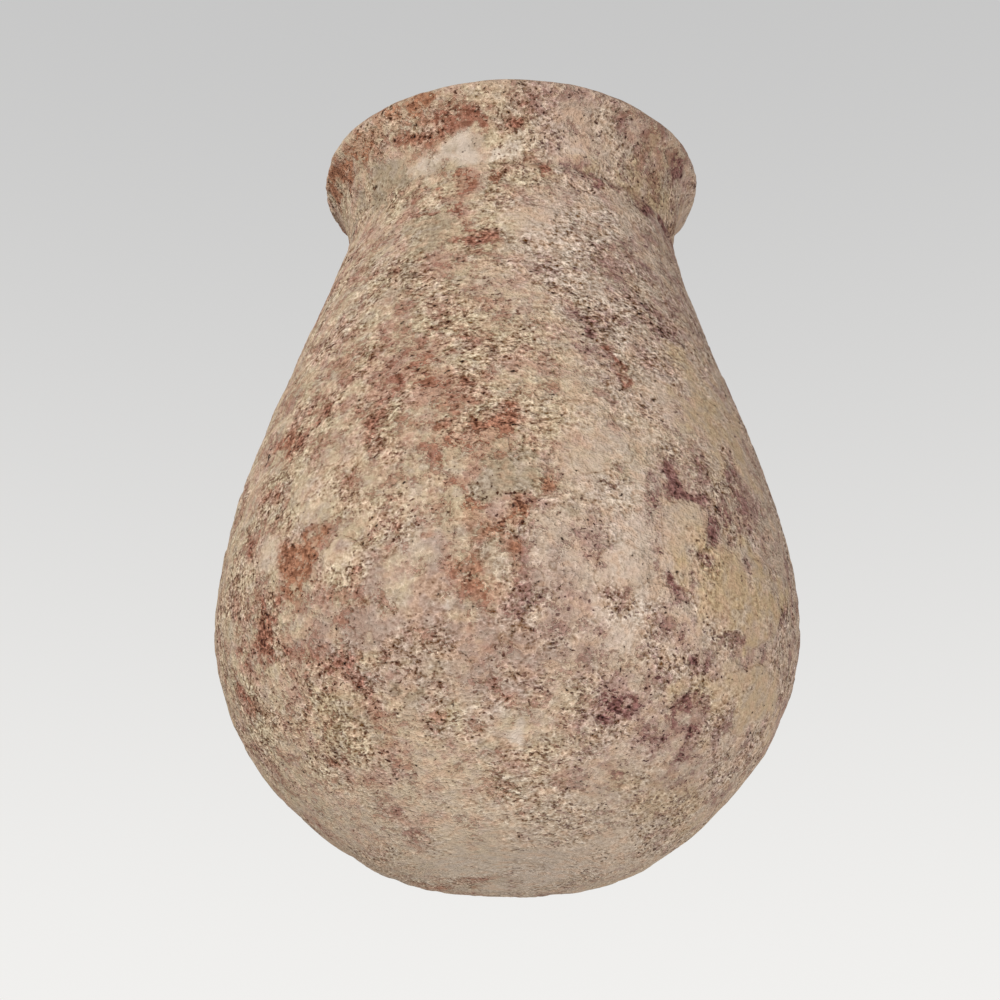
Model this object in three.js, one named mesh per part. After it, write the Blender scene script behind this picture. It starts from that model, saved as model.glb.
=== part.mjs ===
// A hand-built terracotta jar: a pressed base bowl, flattened wall coils, a luted-on flaring collar,
// the bead that seals the collar's seam, and the coil that rounds the lip.
// Millimetres, +Z up along the jar's axis, origin in the middle of the flat that it stands on.
import * as THREE from "three";

// Outside of the jar
const HEIGHT = 300;
const FOOT_RADIUS = 30; // the worn flat
const BELLY_RADIUS = 112;
const BELLY_HEIGHT = 94;
const NECK_RADIUS = 68; // in the crease under the collar
const COLLAR_HEIGHT = 36; // crease to the top of the lip
const RIM_OVERHANG = 11; // how far the lip stands out past the crease

// Bend of the outside line
const FOOT_LEAD = 31; // the line leaves the foot level for about this far
const BELLY_LEAD_DOWN = 52; // and stays upright this far below the belly
const BELLY_LEAD_UP = 52; // and above it
const NECK_LEAD = 52; // the wall runs straight into the crease
const NECK_LEAN = THREE.MathUtils.degToRad(13.5); // leaning in
const COLLAR_RISE = 8; // the collar starts upright
const RIM_LEAD = 10; // and ends flared
const RIM_FLARE = THREE.MathUtils.degToRad(51);

// Clay thickness
const BASE_WALL = 10;
const NECK_WALL = 8;
const LIP_RADIUS = 3.2; // half the thickness of the lip

// Joints between the pieces
const JOINT_GAP = 0.3;
const BOWL_LINE = 66; // length of the outside line, from the foot, that belongs to the base bowl
const COIL_COUNT = 12;
const COIL_LAP = 5; // how far a lapped joint slopes along the wall
const LIP_BAND = 5; // straight part of the lip coil below its round edge
const BEAD_WIDTH = 7; // across the groove that takes the bead
const BEAD_DEPTH = 2.5;
const BEAD_RISE = 0.9; // how far the bead stands out of the crease

// Fineness of the turned shapes
const SEGMENTS = 48;
const COIL_STEPS = 2;
const BOWL_STEPS = 6;
const COLLAR_STEPS = 5;
const LIP_STEPS = 9;
const BEAD_STEPS = 4;

const BUFF_CRUST = 0xab9079;
const RED_SLIP = 0x9c6552;
const MAROON_SLIP = 0x87605a;
const CLAY_ROUGHNESS = 0.95;

const point = (radius, z) => new THREE.Vector2(radius, z);

const neckHeight = HEIGHT - COLLAR_HEIGHT;
const lipCentre = point(NECK_RADIUS + RIM_OVERHANG - LIP_RADIUS, HEIGHT - LIP_RADIUS);
const lipNormal = point(Math.cos(RIM_FLARE), -Math.sin(RIM_FLARE));
const lipRise = point(Math.sin(RIM_FLARE), Math.cos(RIM_FLARE));
const lipOuter = lipCentre.clone().addScaledVector(lipNormal, LIP_RADIUS);
const crease = point(NECK_RADIUS, neckHeight);
const belly = point(BELLY_RADIUS, BELLY_HEIGHT);

// Outside line of the body, from the edge of the foot to the crease
const bodyLine = new THREE.CurvePath();
bodyLine.add(
  new THREE.CubicBezierCurve(
    point(FOOT_RADIUS, 0),
    point(FOOT_RADIUS + FOOT_LEAD, 0),
    point(BELLY_RADIUS, BELLY_HEIGHT - BELLY_LEAD_DOWN),
    belly,
  ),
);
bodyLine.add(
  new THREE.CubicBezierCurve(
    belly,
    point(BELLY_RADIUS, BELLY_HEIGHT + BELLY_LEAD_UP),
    point(NECK_RADIUS + NECK_LEAD * Math.sin(NECK_LEAN), neckHeight - NECK_LEAD * Math.cos(NECK_LEAN)),
    crease,
  ),
);
const bodyLength = bodyLine.getLength();
const bellyPlace = bodyLine.curves[0].getLength();

// Outside line of the collar, from the crease to where the lip's round edge starts
const collarLine = new THREE.CubicBezierCurve(
  crease,
  point(NECK_RADIUS, neckHeight + COLLAR_RISE),
  lipOuter.clone().addScaledVector(lipRise, -RIM_LEAD),
  lipOuter,
);
const collarLength = collarLine.getLength();

// The face of a wall at a place along its outside line, sunk square into the clay by a depth
function sunk(line, share, depth) {
  const tangent = line.getTangentAt(share);
  return line.getPointAt(share).add(point(-tangent.y, tangent.x).multiplyScalar(depth));
}

const bodyOuter = (place) => sunk(bodyLine, place / bodyLength, 0);
const bodyWall = (place) => THREE.MathUtils.lerp(BASE_WALL, NECK_WALL, place / bodyLength);
const bodyInner = (place) => sunk(bodyLine, place / bodyLength, bodyWall(place));
const collarOuter = (place) => sunk(collarLine, place / collarLength, 0);
const collarWall = (place) => THREE.MathUtils.lerp(NECK_WALL, 2 * LIP_RADIUS, place / collarLength);
const collarInner = (place) => sunk(collarLine, place / collarLength, collarWall(place));

// Points of a face from one place to another, both ends included
function along(face, from, to, steps) {
  return Array.from({ length: steps + 1 }, (_, i) => face(THREE.MathUtils.lerp(from, to, i / steps)));
}

// Where a lapped joint meets the outer and inner faces of the wall. The wall opens out below the
// belly, so there each coil laps over the outside of the one below; above, it sits on the inside.
function lap(place) {
  const slope = place < bellyPlace ? COIL_LAP / 2 : -COIL_LAP / 2;
  return { outer: place - slope, inner: place + slope };
}

// Half the joint's gap, measured along the wall instead of square to the sloping joint
function halfGap(place) {
  return ((JOINT_GAP / 2) * Math.hypot(COIL_LAP, bodyWall(place))) / bodyWall(place);
}

const lapBelow = (place) => lap(place - halfGap(place));
const lapAbove = (place) => lap(place + halfGap(place));

const vessel = new THREE.Group();

// Turns a closed outline, or one that starts and ends on the axis, into a named piece of fired clay
function turn(name, outline, color) {
  const geometry = new THREE.LatheGeometry(outline, SEGMENTS).rotateX(Math.PI / 2);
  const material = new THREE.MeshStandardMaterial({ color, roughness: CLAY_ROUGHNESS, metalness: 0 });
  const mesh = new THREE.Mesh(geometry, material);
  mesh.name = name;
  vessel.add(mesh);
}

const closed = (outline) => [...outline, outline[0].clone()];

// Base bowl: flat foot, round outside, and an inside floor of the same roundness
function addBaseBowl() {
  const rim = lapBelow(BOWL_LINE);
  turn(
    "base_bowl",
    [
      point(0, 0),
      ...along(bodyOuter, 0, rim.outer, BOWL_STEPS),
      ...along(bodyInner, rim.inner, 0, BOWL_STEPS),
      point(0, BASE_WALL),
    ],
    BUFF_CRUST,
  );
}

// Wall coils, equal along the outside line from the bowl to the crease
const coilBand = (bodyLength - BOWL_LINE) / COIL_COUNT;
const coilName = (number) => `wall_coil_${String(number).padStart(2, "0")}`;

function addWallCoil(number) {
  const start = lapAbove(BOWL_LINE + (number - 1) * coilBand);
  const end = lapBelow(BOWL_LINE + number * coilBand);
  turn(
    coilName(number),
    closed([
      ...along(bodyOuter, start.outer, end.outer, COIL_STEPS),
      ...along(bodyInner, end.inner, start.inner, COIL_STEPS),
    ]),
    number % 2 ? BUFF_CRUST : RED_SLIP,
  );
}

// Groove for the bead: it starts on the top coil, is deepest at the seam and ends on the collar
const grooveFoot = bodyLength - BEAD_WIDTH / 2;
const grooveHead = BEAD_WIDTH / 2;
const grooveRoot = point(NECK_RADIUS - BEAD_DEPTH, neckHeight);

// The top coil carries the collar on a level seat, chamfered outside for the bead
function addTopCoil() {
  const start = lapAbove(bodyLength - coilBand);
  turn(
    coilName(COIL_COUNT),
    closed([
      ...along(bodyOuter, start.outer, grooveFoot, COIL_STEPS),
      grooveRoot.clone().setY(neckHeight - JOINT_GAP / 2),
      point(NECK_RADIUS - NECK_WALL, neckHeight - JOINT_GAP / 2),
      ...along(bodyInner, grooveFoot, start.inner, COIL_STEPS),
    ]),
    RED_SLIP,
  );
}

// Collar: from its level seat and chamfer up to a square edge under the lip
function addCollar() {
  const edge = collarLength - LIP_BAND - JOINT_GAP / 2;
  turn(
    "collar",
    closed([
      grooveRoot.clone().setY(neckHeight + JOINT_GAP / 2),
      ...along(collarOuter, grooveHead, edge, COLLAR_STEPS),
      ...along(collarInner, edge, grooveHead, COLLAR_STEPS),
      point(NECK_RADIUS - NECK_WALL, neckHeight + JOINT_GAP / 2),
    ]),
    MAROON_SLIP,
  );
}

// Lip coil: a short band that ends in a half round
function addLipCoil() {
  const edge = collarLength - LIP_BAND + JOINT_GAP / 2;
  const halfRound = new THREE.EllipseCurve(
    lipCentre.x,
    lipCentre.y,
    LIP_RADIUS,
    LIP_RADIUS,
    -RIM_FLARE,
    Math.PI - RIM_FLARE,
  );
  turn(
    "lip_coil",
    closed([collarOuter(edge), ...halfRound.getPoints(LIP_STEPS), collarInner(edge)]),
    RED_SLIP,
  );
}

// Bead: fills the groove round the crease with a joint's gap to both chamfers, and bulges a little
function addNeckBead() {
  const foot = bodyOuter(grooveFoot);
  const head = collarOuter(grooveHead);
  const footFace = grooveRoot.clone().sub(foot).normalize();
  const headFace = head.clone().sub(grooveRoot).normalize();
  const low = foot.clone().add(point(footFace.y, -footFace.x).multiplyScalar(JOINT_GAP));
  const high = head.clone().add(point(headFace.y, -headFace.x).multiplyScalar(JOINT_GAP));
  const halfAngle = Math.abs(footFace.angle() - headFace.angle()) / 2;
  const root = grooveRoot.clone().setX(grooveRoot.x + JOINT_GAP / Math.cos(halfAngle));
  const crown = point(NECK_RADIUS + BEAD_RISE, neckHeight);
  const pull = crown.clone().multiplyScalar(2).sub(low.clone().add(high).multiplyScalar(0.5));
  const bulge = new THREE.QuadraticBezierCurve(low, pull, high);
  turn("neck_bead", closed([root, ...bulge.getPoints(BEAD_STEPS)]), BUFF_CRUST);
}

addBaseBowl();
for (let number = 1; number < COIL_COUNT; number += 1) addWallCoil(number);
addTopCoil();
addCollar();
addNeckBead();
addLipCoil();

export default vessel;
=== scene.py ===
"""Looks of a hand-built terracotta jar: worn red slip under a buff burial crust, on a coil-built wall."""
import math
from types import SimpleNamespace

import bpy
import numpy as np
from bpy.props import FloatProperty, FloatVectorProperty, IntProperty, PointerProperty
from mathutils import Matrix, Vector


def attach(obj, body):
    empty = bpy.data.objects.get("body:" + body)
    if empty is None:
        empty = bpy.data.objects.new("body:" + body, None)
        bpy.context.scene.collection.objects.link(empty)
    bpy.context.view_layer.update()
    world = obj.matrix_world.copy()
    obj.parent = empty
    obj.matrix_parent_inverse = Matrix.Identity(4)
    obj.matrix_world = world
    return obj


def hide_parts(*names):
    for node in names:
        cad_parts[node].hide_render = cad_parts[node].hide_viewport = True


bl_info = {
    "name": "Terracotta Jar",
    "version": (1, 0, 0),
    "blender": (4, 5, 0),
    "location": "View3D > Sidebar > Jar",
    "description": "Builds a coil-built terracotta jar with worn slip and burial crust",
    "category": "Add Mesh",
}

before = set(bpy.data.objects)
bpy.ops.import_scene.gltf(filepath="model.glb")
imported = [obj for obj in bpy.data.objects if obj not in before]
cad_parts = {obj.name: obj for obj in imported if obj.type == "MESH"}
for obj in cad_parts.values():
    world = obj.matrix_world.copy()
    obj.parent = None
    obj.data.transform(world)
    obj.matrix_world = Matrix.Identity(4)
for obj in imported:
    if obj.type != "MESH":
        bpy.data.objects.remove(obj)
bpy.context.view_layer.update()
BODY = "root"
MM = 0.001
COIL_COUNT = sum(name.startswith("wall_coil_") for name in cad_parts)


def linear(code):
    """Scene-linear colour of a hexadecimal display colour."""
    shares = [(code >> shift & 255) / 255 for shift in (16, 8, 0)]
    return tuple(s / 12.92 if s <= 0.04045 else ((s + 0.055) / 1.055) ** 2.4 for s in shares)


def length(name, default, description):
    """A size of the jar, given in millimetres."""
    return FloatProperty(
        name=name, description=description, default=default * MM, min=0, precision=4, unit="LENGTH"
    )


def angle(name, default, description):
    """An angle, given in degrees."""
    return FloatProperty(name=name, description=description, default=math.radians(default), unit="ROTATION")


def colour(name, code, description):
    """A finish's colour, given as a hexadecimal display colour."""
    return FloatVectorProperty(
        name=name, description=description, default=linear(code), min=0, max=1, size=3, subtype="COLOR"
    )


class JarSizes(bpy.types.PropertyGroup):
    """Sizes that the jar shares with its solids"""

    height: length("Height", 300, "From the flat that it stands on to the top of the lip")
    foot_radius: length("Foot radius", 30, "Radius of the worn flat")
    belly_radius: length("Belly radius", 112, "Widest radius of the wall")
    belly_height: length("Belly height", 94, "Height of the widest place")
    neck_radius: length("Neck radius", 68, "Radius in the crease under the collar")
    collar_height: length("Collar height", 36, "From the crease to the top of the lip")
    rim_overhang: length("Rim overhang", 11, "How far the lip stands out past the crease")
    foot_lead: length("Foot lead", 31, "How far the wall leaves the foot level")
    belly_lead_down: length("Belly lead down", 52, "How far the wall stays upright below the belly")
    belly_lead_up: length("Belly lead up", 52, "How far the wall stays upright above the belly")
    neck_lead: length("Neck lead", 52, "How far the wall runs straight into the crease")
    neck_lean: angle("Neck lean", 13.5, "How far the wall leans in at the crease")
    collar_rise: length("Collar rise", 8, "How far the collar starts upright")
    rim_lead: length("Rim lead", 10, "How far the collar ends flared")
    rim_flare: angle("Rim flare", 51, "How far the lip leans out")
    base_wall: length("Base wall", 10, "Clay thickness at the foot")
    neck_wall: length("Neck wall", 8, "Clay thickness at the crease")
    lip_radius: length("Lip radius", 3.2, "Half the thickness of the lip")
    joint_gap: length("Joint gap", 0.3, "Luting slurry inside a joint, closed at both faces of the wall")
    bowl_line: length("Bowl line", 66, "Length of the outside line that belongs to the base bowl")
    coil_lap: length("Coil lap", 5, "How far a lapped joint slopes along the wall")
    lip_band: length("Lip band", 5, "Straight part of the lip coil")
    bead_width: length("Bead width", 7, "Across the groove that takes the bead")
    bead_depth: length("Bead depth", 2.5, "Depth of that groove")
    bead_rise: length("Bead rise", 0.9, "How far the bead stands out of the crease")
    steps: IntProperty(name="Steps", description="Steps of each turned piece", default=800, min=48)
    outer_row: length("Outer row", 0.92, "Spacing of the rows on the outer face")
    inner_row: length("Inner row", 3.4, "Spacing of the rows on the inner face")


class JarFinish(bpy.types.PropertyGroup):
    """Colours of the clay, its slip and what lies on it"""

    cream_crust: colour("Cream crust", 0xD1BB9F, "Palest part of the burial crust")
    buff_crust: colour("Buff crust", 0xAD947C, "Common burial crust")
    grey_crust: colour("Grey crust", 0xB8A590, "Greyer crust round the base")
    rose_crust: colour("Rose crust", 0xA28879, "Crust worn so thin that the slip tints it")
    blush_crust: colour("Blush crust", 0xBCA193, "Pinkish parts of the crust")
    moss_crust: colour("Moss crust", 0xAEA282, "Greenish parts of the crust")
    tan_crust: colour("Tan crust", 0xBE9B80, "Warm flecks of the crust")
    ash_crust: colour("Ash crust", 0xA8988A, "Cool flecks of the crust")
    mauve_crust: colour("Mauve crust", 0xBEA499, "Crust that maroon slip tints")
    ochre_crust: colour("Ochre crust", 0xB0966F, "Crust with ochre stain")
    pale_wash: colour("Pale wash", 0xC8B8A9, "Whitish smooth patches")
    olive_crust: colour("Olive crust", 0x94836C, "Lumps of grey-green crust")
    red_slip: colour("Red slip", 0x985F4C, "Brick-red slip")
    orange_slip: colour("Orange slip", 0xA87052, "Slip worn to orange-brown clay")
    maroon_slip: colour("Maroon slip", 0x82524E, "Slip stained maroon")
    brown_fleck: colour("Brown fleck", 0x70432E, "Pits and flecks in the red slip")
    plum_fleck: colour("Plum fleck", 0x5E3838, "Pits and flecks in the maroon slip")
    soot: colour("Soot", 0x38291F, "Cracks and black strokes")
    inside_clay: colour("Inside clay", 0x9A7C66, "Wiped clay inside the jar")


class JarStage(bpy.types.PropertyGroup):
    """Floor, light and camera"""

    view_angle: angle("View angle", 28, "Field of view of the square picture")
    view_rise: angle("View rise", -24.43, "Elevation of the camera above the jar's horizon")
    view_distance: length("View distance", 803.1, "From the camera to the point that it looks at")
    aim_height: length("Aim height", 152.3, "Height of the point that it looks at")
    aim_side: FloatProperty(
        name="Aim side", description="Sideways place of that point", default=-2.8 * MM, unit="LENGTH"
    )
    floor_radius: length("Floor radius", 1500, "Radius of the floor")
    floor_colour: colour("Floor colour", 0xE6E4E1, "Plain pale floor")
    low_backdrop: colour("Low backdrop", 0xF2F1EF, "Backdrop near the floor")
    high_backdrop: colour("High backdrop", 0xC4C4C4, "Backdrop high up")


NOISE_CELLS = 256  # before the noise repeats, a power of two
NOISE_GAIN = 1.6  # brings it to about -1 to 1


class Noise:
    """Seeded smooth noise in space, about -1 to 1, for many points at once."""

    def __init__(self, seed):
        draw = np.random.default_rng(seed)
        order = draw.permutation(NOISE_CELLS)
        self.order = np.concatenate([order, order, order])
        slopes = draw.normal(size=(NOISE_CELLS, 3))
        self.slopes = (slopes / np.linalg.norm(slopes, axis=1, keepdims=True)).T.copy()

    def __call__(self, points, size):
        places = points.T / size
        cells = np.floor(places).astype(np.int64)
        inside = places - cells
        cells &= NOISE_CELLS - 1
        fade = inside**3 * (inside * (inside * 6 - 15) + 10)
        total = np.zeros(len(points))
        for i in (0, 1):
            first = self.order[cells[0] + i]
            for j in (0, 1):
                second = self.order[first + cells[1] + j]
                for k in (0, 1):
                    pick = self.order[second + cells[2] + k]
                    rise = sum(s[pick] * (f - c) for s, f, c in zip(self.slopes, inside, (i, j, k)))
                    for share, corner in zip(fade, (i, j, k)):
                        rise *= share if corner else 1 - share
                    total += rise
        return total * NOISE_GAIN


def smooth(low, high, values):
    """0 below low, 1 above high, and a smooth step between."""
    share = np.clip((values - low) / (high - low), 0, 1)
    return share * share * (3 - 2 * share)


LINE_POINTS = 600  # on each curve of a line
SLOPE_STEP = 1e-4  # share of a line's length, to both sides of a place, over which its slope is taken
SAME_PLACE = 1e-7  # metres, within which two points of a section are one

# How deep in the wall a row of a section lies, and the way that its unevenness moves it
OUTER, HIDDEN, INNER = 0.0, 0.5, 1.0
STILL, INWARD, UP, DOWN = (0.0, 0.0), (-1.0, 0.0), (0.0, 1.0), (0.0, -1.0)
JOINT_ROWS = np.array([0.2, 0.5, 0.8])  # hidden rows of a joint, as shares of the wall
SEAT_POINTS = 4  # across the collar's seat


class Line:
    """An outside line of the jar, looked up by its length."""

    def __init__(self, *curves):
        t = np.linspace(0, 1, LINE_POINTS)[:, None]
        parts = [
            (1 - t) ** 3 * a + 3 * (1 - t) ** 2 * t * b + 3 * (1 - t) * t * t * c + t**3 * d
            for a, b, c, d in (np.array(curve, float) for curve in curves)
        ]
        self.points = np.vstack([parts[0], *(part[1:] for part in parts[1:])])
        steps = np.hypot(*np.diff(self.points, axis=0).T)
        self.runs = np.concatenate([[0], np.cumsum(steps)])
        self.length = self.runs[-1]

    def at(self, run):
        """Radius and height at lengths along the line."""
        return np.stack([np.interp(run, self.runs, axis) for axis in self.points.T], axis=-1)

    def outward(self, run):
        """Direction square to the line, out of the clay."""
        step = self.length * SLOPE_STEP
        low = np.clip(run - step, 0, self.length)
        high = np.clip(run + step, 0, self.length)
        along = self.at(high) - self.at(low)
        along /= np.linalg.norm(along, axis=-1, keepdims=True)
        return np.stack([along[..., 1], -along[..., 0]], axis=-1)


class Section:
    """Closed outline of a piece: radius, height, run along the outside line, depth and outward direction."""

    def __init__(self):
        self.rows = []

    def add(self, points, run, depth, outward):
        run = np.broadcast_to(run, len(points))
        depth = np.broadcast_to(depth, len(points))
        outward = np.broadcast_to(outward, points.shape)
        self.rows.append(np.column_stack([points, run, depth, outward]))

    def table(self):
        rows = np.vstack(self.rows)
        gaps = np.linalg.norm(rows[:, :2] - np.roll(rows[:, :2], 1, axis=0), axis=1)
        return rows[gaps > SAME_PLACE]


class JarShape:
    """The jar's lines and the sections of its pieces, from the same sizes as the solids."""

    def __init__(self, sizes):
        self.sizes = sizes
        self.neck_height = sizes.height - sizes.collar_height
        flare = sizes.rim_flare
        lean = sizes.neck_lean
        self.lip_out = np.array([math.cos(flare), -math.sin(flare)])
        self.lip_rise = np.array([math.sin(flare), math.cos(flare)])
        self.lip_centre = np.array(
            [sizes.neck_radius + sizes.rim_overhang - sizes.lip_radius, sizes.height - sizes.lip_radius]
        )
        lip_outer = self.lip_centre + sizes.lip_radius * self.lip_out
        crease = np.array([sizes.neck_radius, self.neck_height])
        belly = np.array([sizes.belly_radius, sizes.belly_height])
        into_neck = sizes.neck_lead * np.array([math.sin(lean), -math.cos(lean)])
        self.body = Line(
            (
                (sizes.foot_radius, 0),
                (sizes.foot_radius + sizes.foot_lead, 0),
                belly - (0, sizes.belly_lead_down),
                belly,
            ),
            (belly, belly + (0, sizes.belly_lead_up), crease + into_neck, crease),
        )
        self.collar = Line(
            (
                crease,
                crease + (0, sizes.collar_rise),
                lip_outer - sizes.rim_lead * self.lip_rise,
                lip_outer,
            )
        )
        heights = self.body.points[:, 1]
        self.belly_run = np.interp(sizes.belly_height, heights, self.body.runs)
        self.coil_band = (self.body.length - sizes.bowl_line) / COIL_COUNT
        self.groove_foot = self.body.length - sizes.bead_width / 2
        self.groove_head = sizes.bead_width / 2
        self.groove_root = np.array([sizes.neck_radius - sizes.bead_depth, self.neck_height])
        self.seat_inner = np.array([sizes.neck_radius - sizes.neck_wall, self.neck_height])
        self.lip_edge = self.collar.length - sizes.lip_band

    def lap(self, run):
        """Where a lapped joint meets the outer and the inner face."""
        slope = self.sizes.coil_lap / 2
        if run > self.belly_run:
            slope = -slope
        return run - slope, run + slope

    def body_wall(self, run):
        share = run / self.body.length
        return self.sizes.base_wall + (self.sizes.neck_wall - self.sizes.base_wall) * share

    def collar_wall(self, run):
        share = run / self.collar.length
        return self.sizes.neck_wall + (2 * self.sizes.lip_radius - self.sizes.neck_wall) * share

    def outer(self, section, line, start, end, offset=0.0):
        """Rows of the outer face between two lengths of a line."""
        count = max(2, round(abs(end - start) / self.sizes.outer_row) + 1)
        run = np.linspace(start, end, count)
        section.add(line.at(run), run + offset, OUTER, line.outward(run))

    def inner(self, section, line, wall, start, end, offset=0.0):
        """Rows of the inner face between two lengths of a line."""
        count = max(2, round(abs(end - start) / self.sizes.inner_row) + 1)
        run = np.linspace(start, end, count)
        outward = line.outward(run)
        section.add(line.at(run) - outward * wall(run)[:, None], run + offset, INNER, -outward)

    def joint(self, section, run, upper):
        """Hidden face of a lapped joint, half a gap from its middle, from outside in on an upper end."""
        shift = self.sizes.joint_gap / 2 * (-1 if upper else 1)
        run_out, run_in = (place + shift for place in self.lap(run))
        outside = self.body.at(run_out)
        inside = self.body.at(run_in) - self.body.outward(run_in) * self.body_wall(run_in)
        points = outside + (inside - outside) * JOINT_ROWS[:, None]
        section.add(points if upper else points[::-1], run, HIDDEN, STILL)

    def base_bowl(self):
        sizes = self.sizes
        rim_outer, rim_inner = self.lap(sizes.bowl_line)
        section = Section()
        flat = np.linspace(0, sizes.foot_radius, round(sizes.foot_radius / sizes.inner_row) + 1)[:-1]
        section.add(np.column_stack([flat, 0 * flat]), flat - sizes.foot_radius, OUTER, DOWN)
        self.outer(section, self.body, 0, rim_outer)
        self.joint(section, sizes.bowl_line, True)
        self.inner(section, self.body, self.body_wall, rim_inner, 0)
        floor = np.linspace(sizes.foot_radius, 0, round(sizes.foot_radius / sizes.inner_row) + 1)[1:]
        level = np.full_like(floor, sizes.base_wall)
        section.add(np.column_stack([floor, level]), floor - sizes.foot_radius, INNER, UP)
        return section.table()

    def wall_coil(self, number):
        start = self.sizes.bowl_line + (number - 1) * self.coil_band
        end = start + self.coil_band
        start_outer, start_inner = self.lap(start)
        section = Section()
        if number < COIL_COUNT:
            end_outer, end_inner = self.lap(end)
            self.outer(section, self.body, start_outer, end_outer)
            self.joint(section, end, True)
            self.inner(section, self.body, self.body_wall, end_inner, start_inner)
        else:
            self.outer(section, self.body, start_outer, self.groove_foot)
            below = np.array([0, -self.sizes.joint_gap / 2])
            seat = np.linspace(self.groove_root, self.seat_inner, SEAT_POINTS)[:-1] + below
            section.add(seat, self.body.length, HIDDEN, STILL)
            section.add(self.seat_inner[None], self.body.length, INNER, INWARD)
            self.inner(section, self.body, self.body_wall, self.groove_foot, start_inner)
        self.joint(section, start, False)
        return section.table()

    def neck_bead(self):
        sizes = self.sizes
        foot = self.body.at(self.groove_foot)
        head = self.collar.at(self.groove_head)
        crown = np.array([sizes.neck_radius + sizes.bead_rise, self.neck_height])
        pull = 2 * crown - (foot + head) / 2
        share = np.linspace(0, 1, round(sizes.bead_width / sizes.outer_row) + 2)
        t = share[:, None]
        points = (1 - t) ** 2 * foot + 2 * (1 - t) * t * pull + t * t * head
        along = np.gradient(points, axis=0)
        along /= np.linalg.norm(along, axis=1, keepdims=True)
        section = Section()
        run = self.groove_foot + share * sizes.bead_width
        section.add(points, run, OUTER, np.column_stack([along[:, 1], -along[:, 0]]))
        root = self.groove_root + (2 * sizes.joint_gap, 0)
        section.add((head + root)[None] / 2, self.body.length, HIDDEN, STILL)
        section.add(root[None], self.body.length, HIDDEN, STILL)
        section.add((foot + root)[None] / 2, self.body.length, HIDDEN, STILL)
        return section.table()

    def rim_collar(self):
        offset = self.body.length
        above = np.array([0, self.sizes.joint_gap / 2])
        section = Section()
        self.outer(section, self.collar, self.groove_head, self.lip_edge, offset)
        self.square_joint(section, -self.sizes.joint_gap / 2, True)
        self.inner(section, self.collar, self.collar_wall, self.lip_edge, self.groove_head, offset)
        section.add(self.seat_inner[None], offset, INNER, INWARD)
        seat = np.linspace(self.seat_inner, self.groove_root, SEAT_POINTS)[1:] + above
        section.add(seat, offset, HIDDEN, STILL)
        return section.table()

    def square_joint(self, section, shift, upper):
        """Hidden face between the collar and the lip coil."""
        run = self.lip_edge + shift
        depths = JOINT_ROWS * self.collar_wall(run)
        points = self.collar.at(run) - self.collar.outward(run) * depths[:, None]
        section.add(points if upper else points[::-1], self.body.length + run, HIDDEN, STILL)

    def lip_coil(self):
        sizes = self.sizes
        offset = self.body.length
        section = Section()
        self.outer(section, self.collar, self.lip_edge, self.collar.length, offset)
        around = np.linspace(0, math.pi, round(math.pi * sizes.lip_radius / sizes.outer_row) + 2)[1:-1]
        outward = np.outer(np.cos(around), self.lip_out) + np.outer(np.sin(around), self.lip_rise)
        run = offset + self.collar.length + around * sizes.lip_radius
        section.add(self.lip_centre + sizes.lip_radius * outward, run, around / math.pi, outward)
        self.inner(section, self.collar, self.collar_wall, self.collar.length, self.lip_edge, offset)
        self.square_joint(section, sizes.joint_gap / 2, False)
        return section.table()


# Patches that stand out from the common mottling of the front. Each has its azimuth in degrees, from the side
# that faces the viewer and positive to the viewer's right, its place along the outside line in mm from the
# edge of the foot, its half width and half height in mm, and its strength.
RED_PATCHES = (
    (-30, 195, 30, 40, 0.4),
    (-17, 334, 11, 5, 1.4),
    (-7, 332, 2.5, 2, 1.3),
    (2, 331, 3, 2, 1.3),
    (-33, 334, 8, 6, 0.7),
    (-18, 297, 5, 14, 1.5),
    (-28, 293, 10, 7, 0.7),
    (-4, 307, 3.5, 5, 1.2),
    (9, 308, 4, 6, 1.1),
    (-10, 273, 7, 6, 1.2),
    (16, 236, 4, 5, 0.5),
    (20, 226, 3, 4, 0.6),
    (23, 214, 4, 5, 1.2),
    (26, 204, 4, 6, 1.3),
    (-5, 158, 14, 20, 0.55),
    (-4, 118, 14, 16, 0.35),
    (-58, 118, 24, 26, 0.15),
    (-24, 262, 14, 14, 0.3),
    (-48, 186, 8, 7, 1.2),
    (-52, 165, 5, 4, 0.8),
    (-55, 143, 5, 10, 1),
    (-53, 110, 12, 7, 1.2),
    (-66, 99, 11, 9, 0.8),
    (-37, 96, 12, 8, 0.6),
    (-26, 169, 5, 8, 0.8),
    (-17, 200, 11, 6, 0.7),
    (-4, 175, 10, 8, 0.7),
    (-36, 195, 6, 4, 0.8),
    (-31, 73, 10, 10, 0.5),
    (52, 332, 24, 12, 0.45),
    (0, 338, 20, 6, 0.4),
)
ORANGE_PATCHES = (
    (-75, 340, 12, 6, 1.8),
    (-56, 340, 9, 6, 1.8),
    (-40, 344, 9, 4, 1.7),
    (-28, 346, 8, 3, 1.4),
    (-40, 134, 15, 9, 1.4),
    (-29, 112, 14, 10, 0.3),
    (-12, 138, 12, 9, 0.15),
    (7, 150, 3.5, 3, 0.7),
    (-4, 132, 14, 14, 0.7),
)
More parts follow.
